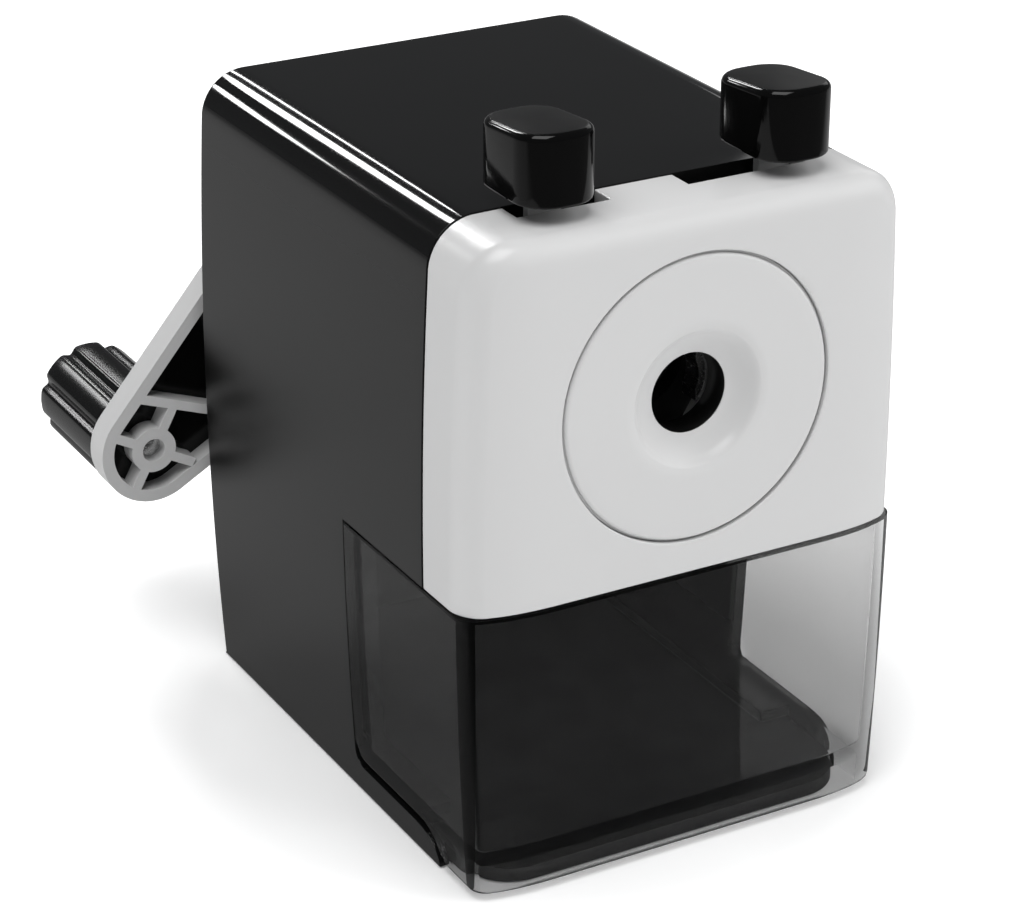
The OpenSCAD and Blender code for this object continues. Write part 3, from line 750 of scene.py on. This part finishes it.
def pinch_knob(side):
    """Push knob with a rounded rim, and a faintly domed top that falls towards the back."""
    node = f"pinch_knob_{side}"
    low, high = box(node)
    centre = (low + high) / 2
    half_w, half_d = (high.x - low.x) / 2, (high.y - low.y) / 2
    corner, rim, foot, dome, fall = 4.4, 1.0, 0.35, 0.25, 1.2
    bm = bmesh.new()

    def level(inset, z, tilt=1.0, scale=1.0):
        points = []
        r = (corner - inset) * scale
        for quarter, (sx, sy) in enumerate(((1, 1), (-1, 1), (-1, -1), (1, -1))):
            for a in spread(90 * quarter, 90 * quarter + 90, 8):
                x = sx * ((half_w - inset) * scale - r) + r * cos(radians(a))
                y = sy * ((half_d - inset) * scale - r) + r * sin(radians(a))
                drop = tilt * fall * (y + half_d) / (2 * half_d)
                points.append((centre.x + x, centre.y + y, z - drop))
        return row_of(bm, points)

    rows = []
    for a in spread(90, 0, 3):
        inset, rise = quarter_round(foot, a)
        rows.append(level(inset, low.z + rise, tilt=0))
    for a in spread(0, 90, 7):
        inset, left = quarter_round(rim, a)
        rows.append(level(inset, high.z - dome - left))
    for t in spread(0, 1, 5)[1:-1]:
        rows.append(level(rim, high.z - dome * (1 - t * (2 - t)), scale=1 - t))
    skin(bm, rows, closed=True)
    cap(bm, rows[-1], (centre.x, centre.y, high.z - fall / 2))
    cap(bm, rows[0], (centre.x, centre.y, low.z))
    face_out(bm)
    return piece(f"push_knob_{side}", bm, f"{side}_lever", "knob_black", [node], smooth_angle=60)


# -------------------- drawer

DRAWER_TOP = drawer_high.z
DRAWER_FLOOR = drawer_low.z
DRAWER_REAR = drawer_high.y
TAIL_INSET = WALL + 0.4
STEP_Y = WINDOW_Y - GAP
UNDERSIDE_Z = SILL_Z + GAP
FLOOR_TOP_Z = UNDERSIDE_Z + DRAWER_WALL
FRONT_HALF, CORNER_CELLS, SIDE_CELLS, TAIL_CELLS = 16, 4, 24, 12
FRONT_COUNT = 2 * (FRONT_HALF + CORNER_CELLS) + 1


def drawer_edge(y, tail=False):
    """Lower edge of the drawer: low in front, over the sill, and up at the window's rear corner."""
    start = SILL_FRONT - GAP
    ahead = min(max((start - y) / SILL_REACH, 0), 1)
    edge = DRAWER_FLOOR + (UNDERSIDE_Z - DRAWER_FLOOR) * sqrt(1 - ahead * ahead)
    if tail:
        return edge
    up = min(max((y - (STEP_Y - WINDOW_R)) / WINDOW_R, 0), 1)
    return edge + WINDOW_R * (1 - sqrt(1 - up * up))


def skirt_edge(y, tail=False):
    """The same edge, but never above the underside of the floor."""
    return min(drawer_edge(y, tail), UNDERSIDE_Z)


def drawer_loop(bm, inset, corner, height):
    """Closed loop of vertices round the drawer; height(y, tail) is the place in Z."""

    def half(z):
        return half_width(z) - inset

    def front_point(t, z):
        w = half(z)
        if abs(t) <= FRONT_HALF:
            x = t / FRONT_HALF * (w - corner)
            return x, face_y(x) + inset, z
        back, left = quarter_round(corner, (abs(t) - FRONT_HALF) / CORNER_CELLS * 90)
        x = w - left
        return (x if t > 0 else -x), face_y(x) + inset + back, z

    reach = FRONT_HALF + CORNER_CELLS
    points = [front_point(t, height(FRONT_Y, False)) for t in range(-reach, reach + 1)]
    start = points[-1][1]
    for share in spread(0, 1, SIDE_CELLS)[1:]:
        y = start + (STEP_Y - inset - start) * share
        z = height(y + inset * share, False)
        points.append((half(z), y, z))
    tail = []
    for y in spread(STEP_Y - inset, DRAWER_REAR - inset, TAIL_CELLS):
        z = height(y, True)
        tail.append((half(z) - TAIL_INSET, y, z))
    x, y, z = tail[-1]
    across = [(px, y, z) for px in spread(x, -x, FRONT_COUNT - 3)[1:-1]]
    mirrored = [(-x, y, z) for x, y, z in reversed(points[FRONT_COUNT:] + tail)]
    return row_of(bm, points + tail + across + mirrored)


def drawer_wall(bm, inset, corner, foot, low):
    """One side of the drawer's wall, with a rounded foot. Returns its lowest and highest loops."""
    levels = []
    for a in spread(0, 90, 4):
        rise, drawn_in = quarter_round(foot, a)
        levels.append(
            drawer_loop(bm, inset + drawn_in, corner, lambda y, tail, r=rise: low(y, tail) + r)
        )

    def part_way(share):
        def height(y, tail):
            start = low(y, tail) + foot
            return start + (DRAWER_TOP - start) * share

        return height

    for share in spread(0, 1, 10)[1:]:
        levels.append(drawer_loop(bm, inset, corner, part_way(share)))
    skin(bm, levels, closed=True)
    return levels[0], levels[-1]


def drawer_plate(bm, loop, inset):
    """Level faces across a closed loop of the drawer."""
    level = loop[0].co.z
    tails = TAIL_CELLS + 1
    previous = loop[:FRONT_COUNT]
    total = len(loop)
    for i in range(SIDE_CELLS):
        right, left = loop[FRONT_COUNT + i], loop[total - 1 - i]
        if i == SIDE_CELLS - 1:
            inner_right = loop[FRONT_COUNT + SIDE_CELLS]
            inner_left = loop[total - 1 - SIDE_CELLS]
        else:
            inner = half_width(level) - inset - TAIL_INSET
            inner_right = bm.verts.new((inner, right.co.y, level))
            inner_left = bm.verts.new((-inner, right.co.y, level))
        a, b = inner_left.co, inner_right.co
        cells = FRONT_COUNT - 3
        middle = row_of(bm, [a.lerp(b, k / cells) for k in range(1, cells)])
        row = [left, inner_left] + middle + [inner_right, right]
        skin(bm, [previous, row])
        previous = row
    previous = previous[1:-1]
    for i in range(1, tails):
        right, left = loop[FRONT_COUNT + SIDE_CELLS + i], loop[total - 1 - SIDE_CELLS - i]
        first = FRONT_COUNT + SIDE_CELLS + tails
        if i == tails - 1:
            middle = list(reversed(loop[first : first + FRONT_COUNT - 4]))
        else:
            cells = FRONT_COUNT - 3
            middle = row_of(bm, [left.co.lerp(right.co, k / cells) for k in range(1, cells)])
        row = [left] + middle + [right]
        skin(bm, [previous, row])
        previous = row


def drawer_shell():
    """Clear smoked drawer: a tray with a level floor, and a skirt that hangs down in front."""
    bm = bmesh.new()
    foot, outer_rim = drawer_wall(bm, 0, 1.5, 1.4, drawer_edge)
    floor, inner_rim = drawer_wall(bm, DRAWER_WALL, 0.6, 0.7, lambda y, tail: FLOOR_TOP_Z)
    skin(bm, [outer_rim, inner_rim], closed=True)
    drawer_plate(bm, floor, DRAWER_WALL + 0.7)
    skirt = drawer_loop(bm, DRAWER_WALL, 0.6, skirt_edge)
    underside = drawer_loop(bm, DRAWER_WALL, 0.6, lambda y, tail: UNDERSIDE_Z)
    skin(bm, [foot, skirt, underside], closed=True)
    drawer_plate(bm, underside, DRAWER_WALL)
    bmesh.ops.remove_doubles(bm, verts=bm.verts, dist=0.001)
    face_out(bm)
    return piece(
        "drawer_shell", bm, "drawer", "drawer_smoke", ["drawer"], edge=0.2, smooth_angle=50
    )


# -------------------- crank


def fluted_handle():
    """Handle with eight rounded flutes and eased ends."""
    centre = joint_at["handle_spin"]
    radius = (grip_high.z - grip_low.z) / 2
    flutes, steps, depth, ease = 8, 20, 0.75, 0.9
    bore, plug_r, plug_depth = 2.1, 3.6, 3
    bm = bmesh.new()

    def row(y, reach):
        points = []
        for i, a in enumerate(full_turn(flutes * steps)):
            r = reach(i)
            points.append((centre.x + r * cos(a), y, centre.z + r * sin(a)))
        return row_of(bm, points)

    def fluted(y, inset):
        def reach(i):
            wave = max(cos(2 * pi * ((i / steps) % 1 - 0.5)), 0) ** 2.5
            return radius - depth * wave - inset

        return row(y, reach)

    rows = []
    for a in spread(0, 90, 4):
        left = quarter_round(ease, a)[1]
        rows.append(fluted(grip_low.y + left, left))
    for y in spread(grip_low.y + ease, grip_high.y - ease, 8)[1:-1]:
        rows.append(fluted(y, 0))
    for a in spread(0, 90, 5):
        inset, left = quarter_round(ease, a)
        rows.append(fluted(grip_high.y - left, inset))
    seat = grip_high.y - plug_depth
    for r, y in ((plug_r, grip_high.y), (plug_r, seat), (bore, seat), (bore, grip_low.y)):
        rows.append(row(y, lambda i, r=r: r))
    skin(bm, rows + [rows[0]], closed=True)
    face_out(bm)
    return piece("fluted_handle", bm, "handle", "handle_black", ["crank_knob"], smooth_angle=45)


# -------------------- screws, springs, cutter


def helper(name, bm):
    """An object in millimetres that is only there while a screw is made."""
    mesh = bpy.data.meshes.new(name)
    bm.to_mesh(mesh)
    bm.free()
    obj = bpy.data.objects.new(name, mesh)
    bpy.context.scene.collection.objects.link(obj)
    return obj


def screw_blank(head_r, head_h, shank_r, length):
    """A domed head on a threaded shank that points up. The head's underside is at zero."""
    core_r, tip_r, pitch = shank_r * 0.82, shank_r * 0.6, 0.5
    bm = bmesh.new()
    profile = [(0.02, -head_h)]
    for a in spread(0, 90, 6)[1:]:
        profile.append((head_r * sin(radians(a)), -head_h * (0.35 + 0.65 * cos(radians(a)))))
    profile += [(head_r, 0), (shank_r, 0)]
    turns = max(int(length / pitch), 2)
    for i in range(turns):
        base = length * i / turns
        profile += [(shank_r, base + 0.1), (core_r, base + 0.25), (core_r, base + 0.3)]
    profile += [(shank_r, length - 0.1), (tip_r, length)]
    rows = lathe(bm, profile, (0, 0, 0), "z", 48, closed=False)
    cap(bm, rows[0], (0, 0, -head_h))
    cap(bm, rows[-1], (0, 0, length))
    face_out(bm)
    return helper("screw_blank", bm)


def screw(bm, at, direction, head_r, head_h, shank_r, length, cross=True):
    """Pan-head screw with a cross or slot recess.

    at is the underside of the head, and direction is the way the shank points.
    """
    blank = screw_blank(head_r, head_h, shank_r, length)
    half_long = head_r * (0.62 if cross else 1.1)
    half_wide, deep = head_r * 0.12, head_h * 0.55
    tools = []
    for turn in (0, pi / 2) if cross else (0,):
        tool_bm = bmesh.new()
        block(tool_bm, (-half_long, -half_wide, -head_h - 1), (half_long, half_wide, deep - head_h))
        tool = helper("screw_tool", tool_bm)
        tool.rotation_euler = (0, 0, turn)
        tools.append(tool)
        recess = blank.modifiers.new("recess", "BOOLEAN")
        recess.operation = "DIFFERENCE"
        recess.object = tool
        recess.solver = "EXACT"
    bpy.context.view_layer.update()
    evaluated = blank.evaluated_get(bpy.context.evaluated_depsgraph_get())
    done = bpy.data.meshes.new_from_object(evaluated)
    turned = Vector((0, 0, 1)).rotation_difference(Vector(direction)).to_matrix().to_4x4()
    done.transform(Matrix.Translation(Vector(at)) @ turned)
    bm.from_mesh(done)
    bpy.data.meshes.remove(done)
    for obj in [blank] + tools:
        mesh = obj.data
        bpy.data.objects.remove(obj)
        bpy.data.meshes.remove(mesh)


def screw_group(node, body, spots, direction, sizes, cross=True):
    """All the screws of one CAD node, as one object."""
    bm = bmesh.new()
    for spot in spots:
        screw(bm, spot, direction, *sizes, cross=cross)
    return piece(f"{node}_set", bm, body, "bright_steel", [node], smooth_angle=40)


def all_screws():
    """Each group has its places, then its head radius, head height, shank radius and length."""
    sides = (-1, 1)
    base = [(s * 26.4, y, 1.6) for s in sides for y in (-17, 31)]
    screw_group("base_screws", "housing", base, (0, 0, 1), (2.0, 1.0, 1.2, 2.4))
    shelf_z = box("frame_screws")[1].z - 1.5
    shelf = [(s * 27.6, y, shelf_z) for s in sides for y in (12, 31)]
    screw_group("frame_screws", "housing", shelf, (0, 0, -1), (2.0, 1.5, 1.2, 3.1))
    flange_y, ring_r = BACK_Y - WALL - 2, 20.3
    spots = [(ring_r * cos(radians(a)), ring_r * sin(radians(a))) for a in (90, 210, 330)]
    gear = [(x, flange_y, AXIS_Z + z) for x, z in spots]
    screw_group("gear_screws", "housing", gear, (0, 1, 0), (1.6, 1.4, 1.0, 3.2))
    plate_y = box("carriage_plate")[1].y
    cover = [(s * x, plate_y, z) for s in sides for x, z in COVER_SCREWS]
    screw_group("cover_screws", "carriage", cover, (0, -1, 0), (1.9, 1.2, 1.1, 8.0))
    hub = [(0, box("crank_screw")[1].y - 2, AXIS_Z)]
    screw_group("crank_screw", "crank", hub, (0, -1, 0), (5.6, 2.0, 1.6, 8.5), cross=False)


def wire(bm, points, radius, sides=8):
    """A round wire along a list of points."""
    rows = []
    normal = None
    for i, p in enumerate(points):
        ahead = points[min(i + 1, len(points) - 1)] - points[max(i - 1, 0)]
        ahead.normalize()
        if normal is None:
            normal = ahead.orthogonal().normalized()
        normal = (normal - ahead * normal.dot(ahead)).normalized()
        other = ahead.cross(normal)
        spokes = [normal * cos(a) + other * sin(a) for a in full_turn(sides)]
        rows.append(row_of(bm, [p + spoke * radius for spoke in spokes]))
    skin(bm, rows, closed=True)
    cap(bm, rows[0], points[0])
    cap(bm, rows[-1], points[-1])


def carriage_springs():
    """Two long tension springs from the carriage plate to pins on the back wall."""
    low, high = box("carriage_springs")
    turns, steps, coil_r, wire_r = 34, 18, 2.05, 0.32
    start, end = low.y + 1.2, high.y - 1.2
    bm = bmesh.new()
    for side in (-1, 1):
        x = side * SPRING_X
        points = [(x, low.y + 0.3, SPRING_Z), (x + 0.7, low.y + 0.8, SPRING_Z)]
        for i in range(turns * steps + 1):
            a = 2 * pi * i / steps
            y = start + (end - start) * i / (turns * steps)
            points.append((x + coil_r * cos(a), y, SPRING_Z + coil_r * sin(a)))
        points += [(x + 0.7, high.y - 0.8, SPRING_Z), (x, high.y - 0.3, SPRING_Z)]
        wire(bm, [Vector(p) for p in points], wire_r, sides=7)
    face_out(bm)
    obj = piece(
        "carriage_spring_coils", bm, None, "spring_steel", ["carriage_springs"], smooth_angle=60
    )
    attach(obj, "carriage")
    obj.parent = None
    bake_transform(obj)
    return obj


def lever_spring():
    """Torsion spring on the pivot, with one leg lying along each lever."""
    low, high = box("lever_spring")
    centre = joint_at["left_pinch"]
    coil_r, wire_r, turns, steps = 3.05, 0.34, 3.25, 24
    leg_x, leg_z = 9.2, 7.6
    start, end = low.y + 0.5, high.y - 0.4
    total = int(turns * steps)
    points = [Vector((centre.x - leg_x, start, centre.z + leg_z))]
    for i in range(total + 1):
        a = radians(140) - 2 * pi * i / steps
        y = start + (end - start) * i / total
        points.append(Vector((centre.x + coil_r * cos(a), y, centre.z + coil_r * sin(a))))
    points.append(Vector((centre.x + leg_x, end, centre.z + leg_z)))
    bm = bmesh.new()
    wire(bm, points, wire_r, sides=8)
    face_out(bm)
    return piece(
        "lever_spring_coil", bm, "carriage", "spring_steel", ["lever_spring"], smooth_angle=60
    )


def milling_cutter():
    """Cylinder with fourteen ground blades that twist along it."""
    pivot = joint_at["cutter_spin"]
    tilt = radians(10)
    blades, radius, depth, bore = 14, 8.0, 1.4, 1.56
    start, length, twist, slices = -3.2, 31.0, radians(80), 48
    tooth = [(0.0, 0.0), (0.1, 0.0), (0.3, 0.45), (0.52, 0.9), (0.72, 1.0), (0.9, 0.75), (0.97, 0.3)]
    to_world = Matrix.Translation(pivot) @ Matrix.Rotation(-tilt, 4, "X")
    bm = bmesh.new()

    def ring(y, polar):
        points = [(r * cos(a), y, r * sin(a)) for r, a in polar]
        return row_of(bm, [to_world @ Vector(p) for p in points])

    def bladed(along, inset):
        polar = []
        for b in range(blades):
            for share, low in tooth:
                a = pi / 2 + 2 * pi * (b + share) / blades - twist * along / length
                polar.append((radius - inset - depth * low, a))
        return ring(start - along, polar)

    chamfer = [(0.0, 0.7), (0.35, 0.0)]
    slices_at = chamfer + [(length * k / slices, 0.0) for k in range(1, slices)]
    slices_at += [(length - along, inset) for along, inset in reversed(chamfer)]
    hole = [(bore, pi / 2 + a) for a in full_turn(blades * len(tooth))]
    rows = [ring(start, hole)]
    rows += [bladed(along, inset) for along, inset in slices_at]
    rows.append(ring(start - length, hole))
    skin(bm, rows + [rows[0]], closed=True)
    face_out(bm)
    return piece(
        "milling_cutter", bm, "cutter", "cutter_steel", ["helical_cutter"], smooth_angle=40
    )


def feet():
    """Four rubber feet with an eased lower edge and a shallow ring."""
    low, high = box("rubber_feet")
    bm = bmesh.new()
    r = 4.0
    profile = [(1.6, low.z + 0.12), (1.9, low.z), (r - 0.25, low.z), (r, low.z + 0.2), (r, high.z)]
    for x in (-21, 21):
        for y in (-22, 22):
            solid_lathe(bm, profile, (x, y, 0), "z", 48)
    face_out(bm)
    return piece("feet", bm, "housing", "foot_rubber", ["rubber_feet"], smooth_angle=40)


# -------------------- CAD nodes that stay

slot_of = {s["node"]: s["material_slot"] for s in frame["record"]["subparts"]}


def keep_node(name, edge):
    """A CAD node whose shape is right: it gets its material and small edge roundings."""
    obj = frame["nodes"][name]
    material = MATERIALS[slot_of[name]]
    for material_slot in obj.material_slots:
        material_slot.material = material
    if edge:
        flat = obj.modifiers.new("flats", "DECIMATE")
        flat.decimate_type = "DISSOLVE"
        flat.angle_limit = radians(0.6)
        soften(obj, edge, angle=40)


# -------------------- studio


STRIPS_Y = 0.79
STRIPS_AIM = (0, 0, 0.09)
# how bright the floor looks in glossy reflections, away from and near the front: painted darker reflections
FLOOR_IN_GLOSS = 0.32
FRONT_IN_GLOSS = 0.08


def floor_material():
    """Pale paper with painted light: it glows a little away from the part, which washes out shadows there, and it
    paints darker reflections, being dimmer in glossy reflections, most near the front.
    """
    mat, tree, shader = new_material("floor")
    paper = shades(tree, noise(tree, 40, detail=3), grey(0.9), grey(0.93))
    rays = tree.nodes.new("ShaderNodeLightPath").outputs
    mirrored = calculate(tree, "MULTIPLY", rays["Is Glossy Ray"], rays["Is Reflection Ray"])
    at = own_place(tree)
    # painted reflection: the floor looks dimmer to glossy rays, most near the front
    dim = between(tree, split(tree, at)["Y"], FRONT_IN_GLOSS, FLOOR_IN_GLOSS, -0.1, -0.03)
    share = mixed(tree, mirrored, 1.0, dim)
    dimmed = tree.nodes.new("ShaderNodeVectorMath")
    dimmed.operation = "SCALE"
    tree.links.new(paper, dimmed.inputs[0])
    tree.links.new(share, dimmed.inputs["Scale"])
    tree.links.new(dimmed.outputs["Vector"], shader.inputs["Base Color"])
    distance = tree.nodes.new("ShaderNodeVectorMath")
    distance.operation = "LENGTH"
    tree.links.new(at, distance.inputs[0])
    # painted light: the floor glows away from the part, which washes out cast shadows
    glow = between(tree, distance.outputs["Value"], 0.1, 0.45, 0.048, 0.075)
    tree.links.new(calculate(tree, "MULTIPLY", share, glow), shader.inputs["Emission Strength"])
    shader.inputs["Roughness"].default_value = 0.8
    shader.inputs["Emission Color"].default_value = (1, 1, 1, 1)
    return mat


def studio_floor():
    """Level floor under the feet, 6 m square."""
    bm = bmesh.new()
    bmesh.ops.create_grid(bm, x_segments=1, y_segments=1, size=3.0)
    mesh = bpy.data.meshes.new("floor")
    bm.to_mesh(mesh)
    bm.free()
    floor = bpy.data.objects.new("floor", mesh)
    bpy.context.scene.collection.objects.link(floor)
    floor.data.materials.append(floor_material())


def surroundings():
    """Dim even light from all round."""
    world = bpy.data.worlds.new("studio")
    bpy.context.scene.world = world
    world.use_nodes = True
    background = world.node_tree.nodes["Background"]
    background.inputs["Color"].default_value = (0.9, 0.92, 0.95, 1)
    background.inputs["Strength"].default_value = 0.12


def lamp(name, at, aim, size, power, size_y=None):
    """A flat lamp at a place in metres, facing its aim; its power is in watts."""
    light = bpy.data.lights.new(name, "AREA")
    light.energy = power
    light.size = size
    if size_y:
        light.shape = "RECTANGLE"
        light.size_y = size_y
    obj = bpy.data.objects.new(name, light)
    obj.location = at
    obj.rotation_euler = (Vector(aim) - Vector(at)).to_track_quat("-Z", "Y").to_euler()
    bpy.context.scene.collection.objects.link(obj)
    return obj


def strip(name, start, end, width, power):
    """A narrow lamp behind the part, from one end to the other in X and Z."""
    start, end = (Vector((x, STRIPS_Y, z)) for x, z in (start, end))
    obj = lamp(name, (start + end) / 2, STRIPS_AIM, width, power, size_y=(end - start).length)
    back = (obj.location - Vector(STRIPS_AIM)).normalized()
    along = (end - start).normalized()
    along = (along - back * along.dot(back)).normalized()
    axes = Matrix((along.cross(back), along, back)).transposed()
    obj.rotation_euler = axes.to_euler()


def studio():
    """Floor, surroundings, a soft key and the lamps that show in the glossy edges."""
    studio_floor()
    surroundings()
    lamp("key", (-0.35, -0.25, 1.15), (0, 0, 0.04), 0.9, 12.5)
    fill = lamp("fill", (1.0, -0.55, 0.75), (0, 0, 0.05), 1.0, 11)
    fill.visible_glossy = False
    strip("upper_strip", (0.10, 0.466), (0.23, 0.575), 0.028, 0.31)
    strip("middle_strip", (-0.059, 0.507), (0.033, 0.745), 0.11, 2.1)
    strip("lower_strip", (-0.265, 0.412), (-0.362, 0.420), 0.055, 0.4)
    lamp("rear_card", (0.9, 0.7, 0.55), (0, 0, 0.09), 0.7, 0.8, size_y=0.4)


def camera():
    """The photograph's view: from the front left, a little above, with a long lens."""
    data = bpy.data.cameras.new("camera")
    data.sensor_width = 36
    data.lens = 110.3
    obj = bpy.data.objects.new("camera", data)
    obj.location = (-0.19426, -0.34089, 0.22292)
    azimuth, elevation, roll = -29.177, 24.88, -0.07
    obj.rotation_euler = (radians(90 - elevation), radians(roll), radians(azimuth))
    bpy.context.scene.collection.objects.link(obj)
    bpy.context.scene.camera = obj
    bpy.context.scene.view_settings.view_transform = "Standard"


camera()
studio()
housing_shell()
housing_ribs()
cover_shell()
cover_posts()
round_plate()
pinch_knob("left")
pinch_knob("right")
drawer_shell()
fluted_handle()
all_screws()
carriage_springs()
lever_spring()
milling_cutter()
feet()

KEPT = {  # CAD nodes that stay, with the width of their edge roundings
    "base_plate": 0.3, "inner_frame": 0.25, "ring_gear": 0.12, "rear_bush": 0.25,
    "crank_shaft": 0.3, "crank_arm": 0.28, "arm_cover": 0.1, "cutter_carrier": 0.3,
    "cutter_pin": 0.2, "cutter_pinion": 0.1, "knob_pin": 0.2, "knob_plug": 0.25, "disc_clip": 0.1,
    "carriage_plate": 0.25, "guide_rods": 0.3, "rod_clips": 0.1, "pivot_pin": 0.2,
    "lever_left": 0.15, "lever_right": 0.15, "jaw_left": 0.12, "jaw_right": 0.12,
    "drawer_stop": 0.2,
}
for node_name, edge_width in KEPT.items():
    keep_node(node_name, edge_width)
